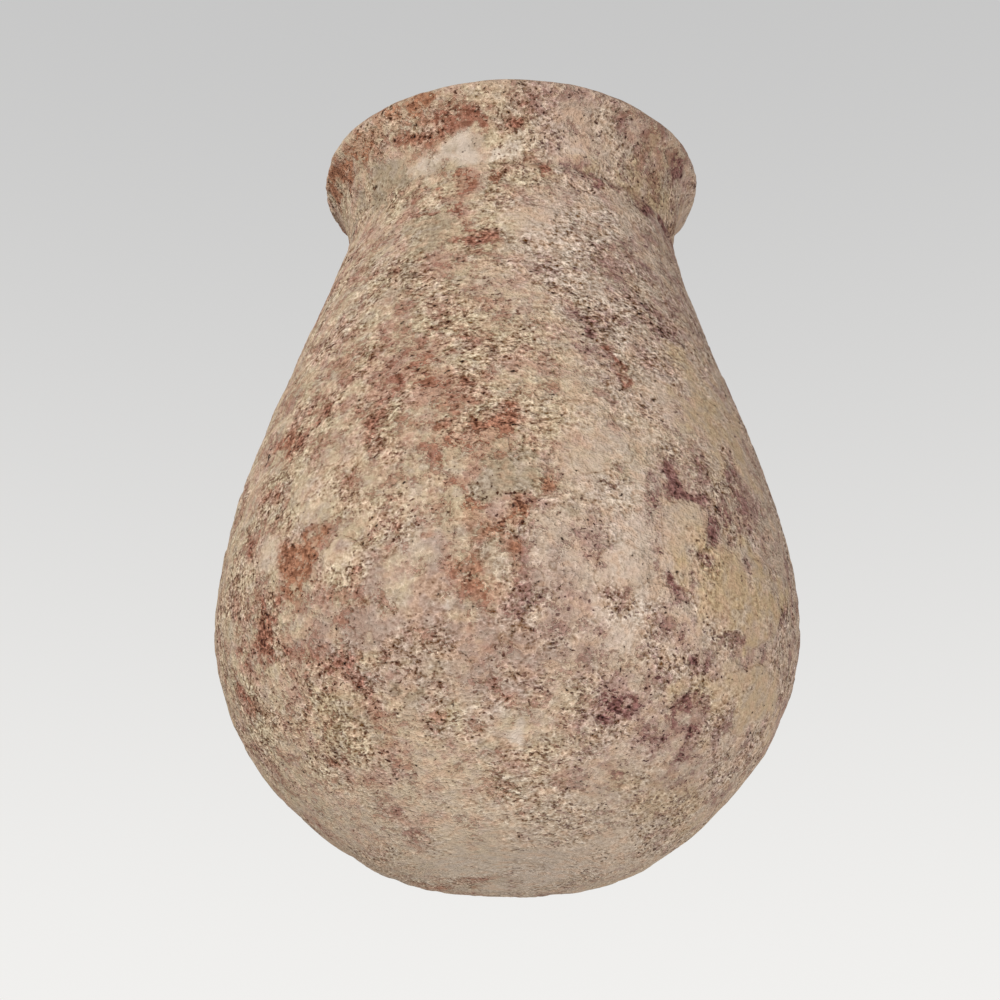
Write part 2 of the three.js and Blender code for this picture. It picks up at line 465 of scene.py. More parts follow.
MAROON_PATCHES = (
    (69, 339, 10, 3, 1.1),
    (40, 336, 7, 3.5, 0.6),
    # These three run along the crease as a thin dark line, partly maroon slip and partly painted shade of the
    # crease
    (32, 311, 9, 3.5, 1.3),
    (50, 310, 10, 4, 1.3),
    (70, 309, 12, 4, 1.1),
    (36, 254, 33, 26, 0.42),
    (32, 225, 18, 14, 0.3),
    (15, 232, 4, 4, 0.4),
    (19, 221, 3, 5, 0.5),
    (50, 62, 18, 10, 0.35),
    (44, 78, 18, 10, 0.65),
    (32, 164, 5, 5, 1.2),
    (34, 158, 6, 6, 1),
    (26, 150, 4, 9, 1),
    (41, 141, 6, 12, 1.5),
    (36, 125, 4, 4, 1.6),
    (30, 119, 7, 4, 1.3),
    (46, 158, 20, 20, 0.55),
    (40, 95, 5, 4, 1.5),
    (44, 75, 6, 7, 1.5),
    (48, 105, 6, 5, 0.7),
    (34, 105, 1.4, 3, 0.9),
    (64, 124, 4, 5, 1),
    (22, 75, 6, 9, 0.9),
    (7, 72, 4, 6, 0.6),
    (49, 64, 7, 4, 0.9),
    (-48, 26, 19, 7, 0.5),
    (22, 11, 9, 8, 0.6),
    (14, -6, 8, 7, 0.6),
    (-2, 24, 4, 2.5, 0.5),
    (-33, 49, 11, 4, 0.5),
    (31, 51, 6, 4, 0.6),
    (38, 27, 4, 5, 0.5),
    (-20, 42, 4, 3.5, 0.4),
)
SMOOTH_PATCHES = (
    (6, 280, 12, 10, 0.8),
    (33, 197, 11, 16, 0.9),
    (48, 199, 17, 22, 1.2),
    (-30, 129, 6, 5, 1.1),
    (-48, 137, 6, 7, 0.6),
    (-19, 107, 11, 12, 0.9),
    (20, 124, 8, 8, 1),
    (33, 139, 9, 9, 1.3),
    (30, 125, 5, 5, 1),
    (48, 124, 28, 14, 1.3),
    (60, 88, 30, 12, 1),
    (16, 172, 18, 17, 0.5),
    (-36, 154, 15, 12, 0.6),
    (0, 4, 45, 18, 0.6),
    (31, 330, 18, 8, 0.3),
)
OCHRE_PATCHES = (
    (60, 322, 28, 14, 0.8),
    (48, 199, 17, 22, 0.8),
    (48, 124, 28, 14, 1),
    (60, 88, 30, 12, 0.7),
    (33, 139, 9, 9, 0.4),
    (-12, 138, 12, 9, 0.2),
    (59, 44, 32, 8, 0.5),
    (-40, 74, 15, 10, 0.6),
)
ROSE_PATCHES = (
    (-21, 105, 28, 14, 0.7),
    (10, 108, 7, 14, 0.6),
    (-23, 129, 9, 6, 0.8),
    (2, 99, 15, 22, 0.7),
    (17, 159, 15, 15, 0.15),
    (-12, 93, 35, 25, 0.8),
    (16, 337, 24, 6, 0.4),
)
PALE_PATCHES = (
    (-18, 320, 17, 7, 1),
    (22, 325, 7, 2.5, 0.6),
    (22, 102, 8, 8, 0.7),
    (-48, 137, 6, 7, 0.35),
    (2, 60, 2.5, 3, 0.9),
    (20, 262, 20, 32, 0.4),
    (0, -15, 60, 18, 0.4),
    (20, 138, 10, 14, 0.5),
    (22, 160, 12, 12, 0.4),
    (-15, 133, 8, 8, 0.35),
    (-6, 71, 9, 9, 0.35),
    (9, 118, 8, 8, 0.3),
    # The last one is a tiny spot of white grains, partly a painted highlight where they sparkle
    (-11, 108, 1.1, 2.5, 1.6),
)
OLIVE_PATCHES = (
    (-26, 277, 9, 12, 1.1),
    # This one darkens the collar's hollow, partly olive crust and partly painted shade of the hollow
    (-47, 318, 17, 8, 1.3),
    (-30, 250, 11, 9, 0.8),
    (0, 153, 8, 7, 1.8),
    (-4, 125, 10, 7, 0.6),
    (-38, 73, 9, 9, 0.8),
    (-20, 78, 5, 6, 1),
    (-15, 85, 5, 3.5, 0.7),
    (-4, 57, 5, 3.5, 1.1),
    (10, 140, 3, 3, 0.9),
)
SOOT_PATCHES = (
    (-38, 345, 5, 2, 0.45),
    (0, 190, 2, 0.8, 1),
    (8, 188, 2.5, 1.5, 1),
    (-58, 182, 1.2, 7, 0.9),
    (-48, 153, 3, 3, 0.5),
    (-71, 310, 5, 0.9, 0.9),
)
MARKED_PATCHES = (
    (28, 240, 36, 40, 1),
    (-8, 185, 26, 20, 0.5),
    (-46, 165, 12, 10, 0.5),
    (-33, 162, 10, 8, 0.6),
    (44, 160, 16, 18, 0.7),
    (30, 90, 20, 16, 0.5),
    (-40, 72, 14, 10, 0.5),
    (-60, 110, 18, 30, 0.4),
)
CRUST_PLATES = (
    (-10, 110, 33, 22, 1),
    (33, 139, 10, 10, 1),
    (20, 122, 10, 9, 1),
    (-30, 129, 7, 6, 1),
    (-48, 137, 7, 8, 1),
    (6, 280, 14, 11, 1),
    (48, 122, 28, 14, 1),
    (62, 88, 30, 12, 1),
    (-36, 156, 14, 11, 1),
    (16, 172, 15, 13, 1),
)
# These two are worn away, and their strength is a depth in mm.
LIP_CHIP = (20, 346, 4, 3, 1.6)
COLLAR_HOLLOW = (-46, 318, 16, 8, 1.7)

NOISE_SEEDS = {
    "lump": 11,
    "swell": 12,
    "dent": 13,
    "dimple": 14,
    "sand": 15,
    "wipe": 16,
    "flake": 17,
    "crumb": 18,
}

# Bumps of the clay: height and size in mm
LUMPS = (0.85, 85)
SWELLS = (0.45, 36)
DENTS = (0.3, 14)
DIMPLES = (0.22, 6)
SAND = (0.14, 2.6)
WIPING = (0.14, 13)
WIPING_STRETCH = 6  # times longer round the jar than up it
OLIVE_LUMPS = (0.5, 2.8)
INNER_SWELLS = (0.6, 50)
INNER_DIMPLES = (0.15, 8)
INNER_WIPING = (0.3, 20)
INNER_STRETCH = 5

# Other heights and depths in mm
FLAKE_HEIGHT = 0.35
PLATE_HEIGHT = 0.4
THINNED = 1.1  # clay scraped off above the foot
COIL_RIDGE = 0.5  # left inside by each coil
CREASE_RUN, CREASE_WIDTH, CREASE_DEPTH = 315.5, 1.8, 0.9  # groove just above the bead

# Fades along the outside line, in mm from the edge of the foot. A band has its start, full, fade and end.
FOOT_FADE = (-28, 6)
GREY_FADE = (25, 70)
RIDGE_FADE = (40, 80)
COLLAR_FADE = (306, 318)
THINNED_BAND = (18, 40, 55, 95)
RIPPLED_BAND = (150, 190, 290, 312)
WIPED_BAND = (150, 190, 285, 312)

# Ragged outlines: strength and size in mm
FRAY, FINE_FRAY = (1, 8), (0.6, 3.5)
SWAY = (1, 16)
FLAKES, FLAKE_BITS, FLAKE_CRUMBS = (1, 12), (0.7, 5.8), (0.5, 3)
BROAD_CHANGE, DRIFT = (1, 60), (1, 40)
# Metres that a noise is read away from its other use
SWAY_SHIFT, FLAKE_BIT_SHIFT, FLAKE_CRUMB_SHIFT, BROAD_SHIFT, DRIFT_SHIFT = 0.11, 0.07, 0.05, 0.31, 0.17

# Spread of the finishes
WALL_MIDDLE = (0.3, 0.7)  # depths between which the outer face gives way to the inner
BACK_FADE = (70, 110)  # degrees from the front, beyond which drift takes the place of patches
MAROON_SIDE = 10  # degrees to the viewer's right, where the slip turns from red to maroon
MAROON_SWAY = 0.5
MAROON_FADE = (-0.25, 0.3)
SMOOTH_COVER, OLIVE_COVER = 1.2, 0.8  # how far smooth and olive patches hide the slip
FRONT_DRIFT, BACK_DRIFT = 0.2, 0.3  # how far the slip's share drifts, and how much more at the back
SLIP_RANGE = (-2, 0.95)
FLAKE_SLIP, FLAKE_LIFT, FLAKE_EDGE = 0.8, 0.1, (-0.35, 0.25)
WORN_ORANGE, WORN_FADE = 0.4, (0.2, 0.6)
BACK_STAIN, STAIN_FADE = 0.5, (0, 0.5)
COLLAR_CALM = 0.5  # how much less marked the collar is


def rising(run, start, full):
    """0 before the start and 1 past the full place, both in mm along the outside line."""
    return smooth(start * MM, full * MM, run)


def band(run, start, full, fade, end):
    """Share of a band of the wall, given in mm along the outside line."""
    return rising(run, start, full) * (1 - rising(run, fade, end))


class JarSurface:
    """Unevenness and finish of the jar's clay at any point of its wall."""

    def __init__(self, shape):
        self.shape = shape
        self.noises = {name: Noise(seed) for name, seed in NOISE_SEEDS.items()}

    def bumps(self, name, points, height, size_mm):
        """One of the noises, at a height and with features of about this many millimetres."""
        return height * self.noises[name](points, size_mm * MM)

    def patches(self, entries, place, core=0.25, edge=1.5, fray=0.8, bend=1.0):
        """Summed strength of patches at the points, full inside the core and gone at the frayed, bent edge."""
        total = np.zeros(len(place.run))
        for degrees, run_mm, half_width, half_height, strength in entries:
            turn = np.angle(np.exp(1j * (place.azimuth - math.radians(degrees))))
            across = turn * place.radius / (half_width * MM) + bend * place.sway[0]
            along = (place.run - run_mm * MM) / (half_height * MM) + bend * place.sway[1]
            reach = np.hypot(across, along) + fray * place.ragged
            total += strength * (1 - smooth(core, edge, reach))
        return total * place.outside

    def relief(self, place):
        """How far the outer face stands out from its turned shape, in metres."""
        points = place.points
        hand = self.bumps("lump", points, *LUMPS) + self.bumps("swell", points, *SWELLS)
        hand -= THINNED * band(place.run, *THINNED_BAND)
        fine = self.bumps("dent", points, *DENTS) + self.bumps("dimple", points, *DIMPLES)
        fine += self.bumps("sand", points, *SAND)
        wiping = self.bumps("wipe", place.drawn_out(WIPING_STRETCH), *WIPING) * band(place.run, *RIPPLED_BAND)
        crust = FLAKE_HEIGHT * place.flake + PLATE_HEIGHT * place.finish["plate"]
        crust += place.finish["olive"] * (OLIVE_LUMPS[0] + self.bumps("crumb", points, *OLIVE_LUMPS))
        worn = self.patches([LIP_CHIP, COLLAR_HOLLOW], place)
        worn += CREASE_DEPTH * np.exp(-(((place.run / MM - CREASE_RUN) / CREASE_WIDTH) ** 2))
        return MM * (hand * rising(place.run, *FOOT_FADE) + fine + wiping + crust - worn)

    def inner_relief(self, place):
        """How far the inner face stands out, in metres, with the ridges of the coils left on it."""
        turns = (place.run - self.shape.sizes.bowl_line) / self.shape.coil_band
        ridges = COIL_RIDGE * np.cos(2 * math.pi * turns) * rising(place.run, *RIDGE_FADE)
        uneven = self.bumps("swell", place.points, *INNER_SWELLS)
        uneven += self.bumps("wipe", place.drawn_out(INNER_STRETCH), *INNER_WIPING)
        uneven += self.bumps("dimple", place.points, *INNER_DIMPLES)
        return MM * (ridges + uneven)

    def flakes(self, place, slip):
        """Share of crust left on the slip, in ragged flakes."""
        ragged = self.bumps("flake", place.points, *FLAKES)
        ragged += self.bumps("dent", place.points + FLAKE_BIT_SHIFT, *FLAKE_BITS)
        ragged += self.bumps("sand", place.points + FLAKE_CRUMB_SHIFT, *FLAKE_CRUMBS)
        return smooth(*FLAKE_EDGE, ragged - FLAKE_SLIP * slip + FLAKE_LIFT)

    def finish(self, place):
        """Shares of each finish at the points, by name."""
        red = self.patches(RED_PATCHES, place)
        orange = self.patches(ORANGE_PATCHES, place)
        maroon = self.patches(MAROON_PATCHES, place)
        smoothed = self.patches(SMOOTH_PATCHES, place)
        pale = self.patches(PALE_PATCHES, place)
        olive = self.patches(OLIVE_PATCHES, place)
        plates = self.patches(CRUST_PLATES, place, core=0.97, edge=1.04, fray=0.14, bend=0.5)
        broad = self.bumps("lump", place.points + BROAD_SHIFT, *BROAD_CHANGE)
        drift = self.bumps("swell", place.points + DRIFT_SHIFT, *DRIFT)
        back = smooth(*BACK_FADE, np.degrees(np.abs(place.azimuth)))
        side = np.sin(place.azimuth - math.radians(MAROON_SIDE)) + MAROON_SWAY * broad
        hue = np.clip(smooth(*MAROON_FADE, side) - red - orange + maroon, 0, 1)
        slip = red + orange + maroon - SMOOTH_COVER * smoothed - pale - OLIVE_COVER * olive
        slip += (FRONT_DRIFT + BACK_DRIFT * back) * drift
        orange += WORN_ORANGE * smooth(*WORN_FADE, drift) * (1 - hue)
        ochre = self.patches(OCHRE_PATCHES, place) + BACK_STAIN * back * smooth(*STAIN_FADE, -drift)
        rose = self.patches(ROSE_PATCHES, place) + BACK_STAIN * back * smooth(*STAIN_FADE, broad)
        marked = self.patches(MARKED_PATCHES, place) - COLLAR_CALM * rising(place.run, *COLLAR_FADE)
        return {
            "slip": np.clip(slip, *SLIP_RANGE),
            "flake": self.flakes(place, slip),
            "plate": np.clip(plates, 0, 1),
            "maroon": hue,
            "orange": np.clip(orange, 0, 1),
            "ochre": np.clip(ochre, 0, 1),
            "rose": np.clip(rose, 0, 1),
            "pale": np.clip(pale, 0, 1),
            "olive": np.clip(olive, 0, 1),
            "marked": np.clip(marked, -1, 1),
            "soot": np.clip(self.patches(SOOT_PATCHES, place), 0, 1),
            "wiped": band(place.run, *WIPED_BAND),
            "grey": (1 - rising(place.run, *GREY_FADE)) * place.outside,
            "inside": 1 - place.outside,
        }


NEAR_AXIS = 1e-9  # metres, within which a vertex has no way outward


class Place:
    """Where a piece's vertices lie on the wall."""

    def __init__(self, points, section, surface):
        radius = np.hypot(points[:, 0], points[:, 1])
        gaps = (radius[:, None] - section[:, 0]) ** 2 + (points[:, 2][:, None] - section[:, 1]) ** 2
        rows = section[gaps.argmin(axis=1)]
        self.points = points
        self.radius = radius
        self.azimuth = np.arctan2(points[:, 0], -points[:, 1])
        self.run = rows[:, 2]
        self.outside = 1 - smooth(*WALL_MIDDLE, rows[:, 3])
        around = points[:, :2] / np.maximum(radius, NEAR_AXIS)[:, None]
        self.outward = np.column_stack([around * rows[:, 4:5], rows[:, 5]])
        self.ragged = surface.bumps("dimple", points, *FRAY) + surface.bumps("sand", points, *FINE_FRAY)
        self.sway = [surface.bumps(name, points + SWAY_SHIFT, *SWAY) for name in ("wipe", "flake")]
        self.finish = surface.finish(self)
        self.flake = self.finish.pop("flake")

    def drawn_out(self, stretch):
        """The points with their height stretched, so that a noise read there is drawn out round the jar."""
        return np.column_stack([self.points[:, :2], self.run * stretch])


COLLAR_SHIFT = 1.8 * MM  # the collar sits a little to one side of the body
COLLAR_LEAN = 60 * MM  # length of the wall below the crease that leans over to it
MERGE_GAP = 1e-6  # metres
SHARP_ANGLE = math.radians(50)


def draw_section(name, section):
    """A section as a ring of edges, left open where it lies on the axis."""
    radius = bpy.context.scene.jar_sizes.belly_radius
    last = len(section) - 1
    bpy.ops.object.select_all(action="DESELECT")
    bpy.ops.mesh.primitive_circle_add(vertices=len(section), radius=radius, location=(0, 0, 0))
    piece = bpy.context.object
    piece.name = name + "_clay"
    piece.data.name = piece.name
    mesh = piece.data
    flat = np.column_stack([section[:, 0], 0 * section[:, 0], section[:, 1]])
    mesh.vertices.foreach_set("co", flat.ravel())
    bpy.ops.object.mode_set(mode="EDIT")
    if np.isclose(section[[0, last], 0], 0).all():
        bpy.ops.mesh.select_all(action="DESELECT")
        bpy.ops.object.mode_set(mode="OBJECT")
        mesh.vertices[0].select = True
        mesh.vertices[last].select = True
        for edge in mesh.edges:
            edge.select = set(edge.vertices) == {0, last}
        bpy.ops.object.mode_set(mode="EDIT")
        bpy.ops.mesh.delete(type="EDGE_FACE")
    bpy.ops.object.mode_set(mode="OBJECT")
    return piece


def spin_section(piece):
    """Turns a section all the way round the jar's axis into a closed skin."""
    bpy.ops.object.modifier_add(type="SCREW")
    lathe = piece.modifiers[-1]
    lathe.axis = "Z"
    lathe.angle = 2 * math.pi
    lathe.steps = lathe.render_steps = bpy.context.scene.jar_sizes.steps
    lathe.use_merge_vertices = True
    lathe.merge_threshold = MERGE_GAP
    bpy.ops.object.modifier_apply(modifier=lathe.name)
    bpy.ops.object.mode_set(mode="EDIT")
    bpy.ops.mesh.select_all(action="SELECT")
    bpy.ops.mesh.remove_doubles(threshold=MERGE_GAP)
    bpy.ops.mesh.normals_make_consistent(inside=False)
    bpy.ops.object.mode_set(mode="OBJECT")


def turn_piece(name, section):
    """Makes a piece of the wall from its section, with its uneven surface and its finish."""
    piece = draw_section(name, section)
    spin_section(piece)
    weather(piece, section)
    bpy.ops.object.shade_smooth_by_angle(angle=SHARP_ANGLE)
    piece.data.materials.clear()
    piece.data.materials.append(clay_material())
    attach(piece, BODY)
    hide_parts(name)


def weather(piece, section):
    """Moves a piece's vertices out to the uneven surface and stores the finish on them."""
    mesh = piece.data
    flat = np.empty(len(mesh.vertices) * 3)
    mesh.vertices.foreach_get("co", flat)
    points = flat.reshape(-1, 3)
    shape = JarShape(bpy.context.scene.jar_sizes)
    surface = JarSurface(shape)
    place = Place(points, section, surface)
    out = surface.relief(place) * place.outside + surface.inner_relief(place) * (1 - place.outside)
    moved = points + place.outward * out[:, None]
    neck = shape.body.length
    moved[:, 0] += COLLAR_SHIFT * smooth(neck - COLLAR_LEAN, neck, place.run)
    moved[:, 2] = np.maximum(moved[:, 2], 0)
    mesh.vertices.foreach_set("co", moved.ravel())
    for name, values in {**place.finish, "run": place.run}.items():
        stored = mesh.attributes.new(name, "FLOAT", "POINT")
        stored.data.foreach_set("value", values.astype(np.float32))
    mesh.update()


class Wire:
    """A socket's output that arithmetic can be done on."""

    def __init__(self, graph, socket):
        self.graph = graph
        self.socket = socket

    def math(self, operation, first, second):
        return self.graph.node("ShaderNodeMath", {"operation": operation}, {0: first, 1: second})

    def __add__(self, other):
        return self.math("ADD", self, other)

    def __radd__(self, other):
        return self.math("ADD", other, self)

    def __sub__(self, other):
        return self.math("SUBTRACT", self, other)

    def __rsub__(self, other):
        return self.math("SUBTRACT", other, self)

    def __mul__(self, other):
        return self.math("MULTIPLY", self, other)

    def __rmul__(self, other):
        return self.math("MULTIPLY", other, self)

    def __neg__(self):
        return self.math("SUBTRACT", 0.0, self)

    def __abs__(self):
        return self.graph.node("ShaderNodeMath", {"operation": "ABSOLUTE"}, {0: self})


NOISE_SPREAD = 0.135  # of one octave about its middle


class Graph:
    """A material's or world's nodes, added one at a time."""

    def __init__(self, tree):
        self.tree = tree
        tree.nodes.clear()

    def node(self, kind, settings=None, sockets=None, output=0):
        """Adds a node with its settings, then the values or links of its sockets, and returns one output."""
        made = self.tree.nodes.new(kind)
        for name, value in (settings or {}).items():
            setattr(made, name, value)
        for key, value in (sockets or {}).items():
            if isinstance(value, Wire):
                self.tree.links.new(value.socket, made.inputs[key])
            else:
                made.inputs[key].default_value = value
        return Wire(self, made.outputs[output] if made.outputs else None)

    def share(self, name):
        """A finish's share, as stored on the piece."""
        return self.node("ShaderNodeAttribute", {"attribute_name": name}, output="Fac")

    def noise(self, vector, size_mm, octaves, falloff):
        """Cloudy noise that swings about 0, mostly within 1, its largest features this many millimetres."""
        shares = falloff ** np.arange(octaves)
        spread = NOISE_SPREAD * np.linalg.norm(shares) / shares.sum()
        cloudy = self.node(
            "ShaderNodeTexNoise",
            {"noise_dimensions": "3D", "noise_type": "FBM", "normalize": True},
            {"Vector": vector, "Scale": 1 / (size_mm * MM), "Detail": octaves - 1.0, "Roughness": falloff},
            "Fac",
        )
        return (cloudy - 0.5) * (1 / spread)

    def step(self, value, low, high):
        """0 below low, 1 above high, and a smooth step between."""
        return self.node(
            "ShaderNodeMapRange",
            {"interpolation_type": "SMOOTHSTEP", "clamp": True},
            {"Value": value, "From Min": low, "From Max": high, "To Min": 0.0, "To Max": 1.0},
            "Result",
        )

    def ridge(self, value, low, top, high):
        """1 at the top value, and falling to 0 at low and at high."""
        return self.step(value, low, top) - self.step(value, top, high)

    def split(self, vector):
        """The three parts of a vector."""
        parts = self.node("ShaderNodeSeparateXYZ", {}, {0: vector}).socket.node
        return [Wire(self, output) for output in parts.outputs]

    def blend(self, share, first, second, way="MIX"):
        """Colour between two colours, or Wires of colours, by a share."""
        sides = [c if isinstance(c, Wire) else (*c, 1.0) for c in (first, second)]
        return self.node(
            "ShaderNodeMix",
            {"data_type": "RGBA", "blend_type": way, "clamp_factor": True},
            {0: share, 6: sides[0], 7: sides[1]},
            2,
        )


CLAY_NAME = "weathered_slipped_clay"
CLAY_ROUGHNESS = 0.9
CLAY_SPECULAR = 0.2
BUMP_HEIGHT = 1 * MM
FINISH_SHARES = (
    "slip",
    "maroon",
    "orange",
    "ochre",
    "rose",
    "pale",
    "olive",
    "plate",
    "marked",
    "soot",
    "wiped",
    "grey",
    "inside",
)

# Mottling of the clay: size in mm, octaves, and each octave's share of the one before it
ISLES = (10.0, 5, 0.84)
FINE = (2.2, 2, 0.9)
CRUMB = (2.0, 2, 0.8)
GRAIN = (1.5, 2, 0.8)
TINT = (12.0, 5, 0.75)
WARMTH = (5.5, 2, 0.6)
SEAM = (6.0, 3, 0.65)
CROWD = (20.0, 2, 0.6)
EVEN_SQUEEZE, WIPED_SQUEEZE, STROKE_SQUEEZE = 1.15, 1.5, 4.2  # how much flatter than wide the mottling is
WIPED_WIDEN = 1.3  # how much larger it is where the wall was wiped

# The lay of the surface: above 0 the slip is bare, below it crust lies on top
SLIP_LIFT, ISLE_LIFT, CRUST_LIFT = 0.8, 0.64, -0.55
ROUGH_EDGE = (-1.2, 0.3)  # slip's share, from smooth to rough crust
ZONE_EDGE = (0.2, 1.1)  # slip's share, from thin to thick slip
CALM_SPREAD, GREY_SPREAD = 0.35, 0.25  # the islands' strength on smooth crust, and its loss on grey crust

# Values at which each mark starts and is full. A mark with three starts, is full and ends again.
BARED_EDGE = (-0.07, 0.07)
CORE_EDGE = (0.15, 0.9)
# Painted highlight: the crust is painted paler, towards cream, just before the slip shows at its edge
EDGE_HIGHLIGHT_BAND = (-0.3, -0.1, 0.0)
# Painted shadow: the slip is painted darker just past the edge of the crust
EDGE_SHADOW_BAND = (-0.05, 0.02, 0.14)
# Painted shadow along the outline of each crust plate
PLATE_SHADOW_BAND = (0.05, 0.4, 0.95)
DEEP_EDGE = (0.6, 1.0)
# Pits, darkened partly with their own fleck colour and partly with painted shade
PIT_EDGE = (1.85, 2.3)
STROKE_EDGE = (0.75, 1.15)
STROKE_WIDTH = (0.0, 0.35)
# Painted highlights on pale grains
GLINT_EDGE = (0.9, 1.6)
SOOT_EDGE = (0.5, 0.8)

# What makes marks more or less frequent
DEEP_FRAY, STROKE_FRAY, SOOT_FRAY = 0.45, 0.22, 0.25
PIT_LAY = 0.5
PIT_NOISE = {"crumb": 1.0, "tint": 0.3}
PIT_SHARES = {"pale": -0.6, "plate": -0.3, "grey": -0.5, "marked": 0.3}
STROKE_NOISE = {"crumb": 0.6, "crowd": 0.6}
STROKE_SHARES = {
    "slip": 0.4,
    "pale": -0.6,
    "wiped": -0.1,
    "olive": 0.4,
    "grey": -0.4,
    "plate": -0.45,
    "marked": 0.6,
}
STROKE_WIPED, STROKE_WORN = 0.25, 0.1  # wiping evens out the strokes, and thins them
GLINT_NOISE = {"grain": 0.7, "fine": -0.5}

# How far each crust covers the ones before it, and the values at which it starts and is full
CRUST_COVER = {
    "cream_crust": 0.65,
    "blush_crust": 0.4,
    "moss_crust": 0.35,
    "mauve_crust": 0.4,
    "grey_crust": 0.7,
    "ochre_crust": 0.75,
    "rose_crust": 0.95,
    "pale_wash": 0.8,
    "olive_crust": 0.8,
    "tan_crust": 0.4,
    "ash_crust": 0.4,
}
CREAM_EDGE, TINT_EDGE, WARMTH_EDGE = (0.05, 1.3), (0.1, 1.5), (0.2, 1.6)

# How far the slip and the marks colour the crust
STAIN_TINT, STAIN_EDGE, STAIN_COVER = 0.3, (-0.1, 1.0), 0.45  # slip that shows through the crust
# How far the painted highlight at crust edges turns the skin to cream
EDGE_HIGHLIGHT_COVER = 0.35
BARED_COVER, ZONE_COVER, CORE_COVER = 0.3, 0.35, 0.2
FLECK_COVER = {"deep": 0.5, "pits_with_painted_shade": 0.7, "stroke": 0.6}
INSIDE_EDGE, INSIDE_CRUST, INSIDE_COVER = (-1.0, 1.0), 0.5, 0.75

# How much lighter or darker the grain and the marks are
GRAIN_LIGHT, FINE_LIGHT, ROUGH_LIGHT = 0.095, 0.06, 0.05
CALM_LIGHT, CROWD_LIGHT, CROWD_EDGE = 0.45, 1.1, (-1.5, 1.5)  # grain comes and goes in crowds
LIVELY_SHARES = {"wiped": 0.15, "marked": 0.5}
GREY_CALM, OLIVE_LIVELY = 0.15, 0.6
# Of these, the glints are painted highlights on pale grains, the dark band past each crust edge and round each
# crust plate is painted shadow, and the pits' darkening is partly painted shade
MARK_LIGHT = {
    "glint": 0.11,
    "bared": -0.04,
    "foot": -0.2,
    "deep": -0.14,
    "pits_with_painted_shade": -0.22,
    "stroke": -0.2,
    "plate_edge_shadow": -0.3,
}
ALL_LIGHT = -0.035
# The painted shade of the marks turns warmer by this too
CHANNEL_LIGHT = (0.93, 1.08, 1.22)  # darker clay is also warmer

# How high the grain and the marks stand, as shares of the bump's height
GRAIN_RISE, ROUGH_RISE, FINE_RISE = 0.09, 0.06, 0.08
MARK_RISE = {"bared": -0.35, "core": -0.2, "pits_with_painted_shade": -0.4, "stroke": -0.4}


def weigh(values, weights):
    """Sum of the values that are named in the weights, each times its weight."""
    first, *rest = (getattr(values, name) * weight for name, weight in weights.items())
    return sum(rest, first)


def clay_noises(graph, wiped):
    """The mottling of the clay, by name."""
    place = graph.node("ShaderNodeTexCoord", output="Object")
    x, y, _ = graph.split(place)
    run = graph.share("run")
    even, level, across = (
        graph.node("ShaderNodeCombineXYZ", {}, {0: x, 1: y, 2: run * squeeze})
        for squeeze in (EVEN_SQUEEZE, WIPED_SQUEEZE, STROKE_SQUEEZE)
    )

    def lying(stretched, size_mm, octaves, falloff):
        """Noise that is drawn out level where the wall was wiped."""
        free = graph.noise(even, size_mm, octaves, falloff)
        drawn = graph.noise(stretched, size_mm * WIPED_WIDEN, octaves, falloff)
        return free + (drawn - free) * wiped

    return SimpleNamespace(
        isles=lying(level, *ISLES),
        fine=lying(level, *FINE),
        crumb=lying(level, *CRUMB),
        seam=lying(across, *SEAM),
        grain=graph.noise(even, *GRAIN),
        warmth=graph.noise(even, *WARMTH),
        tint=graph.noise(place, *TINT),
        crowd=graph.noise(place, *CROWD),
    )


def clay_marks(graph, share, noise):
    """Where crust has worn off the slip, the flecks, pits, strokes and glints on both, and the painted
    highlights and shadows at crust and plate edges, by name.
    """
    rough = graph.step(share.slip, *ROUGH_EDGE)
    zone = graph.step(share.slip, *ZONE_EDGE)
    spread = (CALM_SPREAD + rough * (1 - CALM_SPREAD)) * (1 - share.grey * GREY_SPREAD)
    lay = share.slip * SLIP_LIFT + noise.isles * spread * ISLE_LIFT + CRUST_LIFT
    pits = lay * PIT_LAY + weigh(noise, PIT_NOISE) + weigh(share, PIT_SHARES)
    line = 1 - graph.step(abs(noise.seam) - noise.crumb * STROKE_FRAY, *STROKE_WIDTH)
    broken = weigh(noise, STROKE_NOISE) + weigh(share, STROKE_SHARES) - noise.crumb * share.wiped * STROKE_WIPED
    return SimpleNamespace(
        rough=rough,
        zone=zone,
        lay=lay,
        bared=graph.step(lay, *BARED_EDGE),
        core=graph.step(lay, *CORE_EDGE),
        # painted highlight on the crust side of a crust edge
        painted_edge_highlight=graph.ridge(lay, *EDGE_HIGHLIGHT_BAND),
        # painted shadow on the slip side of a crust edge
        foot=graph.ridge(lay, *EDGE_SHADOW_BAND),
        # painted shadow along each crust plate's outline
        plate_edge_shadow=graph.ridge(share.plate, *PLATE_SHADOW_BAND),
        deep=graph.step(lay + noise.fine * DEEP_FRAY, *DEEP_EDGE) * zone,
        # pits, partly painted shade
        pits_with_painted_shade=graph.step(pits, *PIT_EDGE),
        stroke=line * graph.step(broken, *STROKE_EDGE) * (1 - share.wiped * STROKE_WORN),
        # painted highlights on pale grains
        glint=graph.step(weigh(noise, GLINT_NOISE), *GLINT_EDGE) * rough,
    )


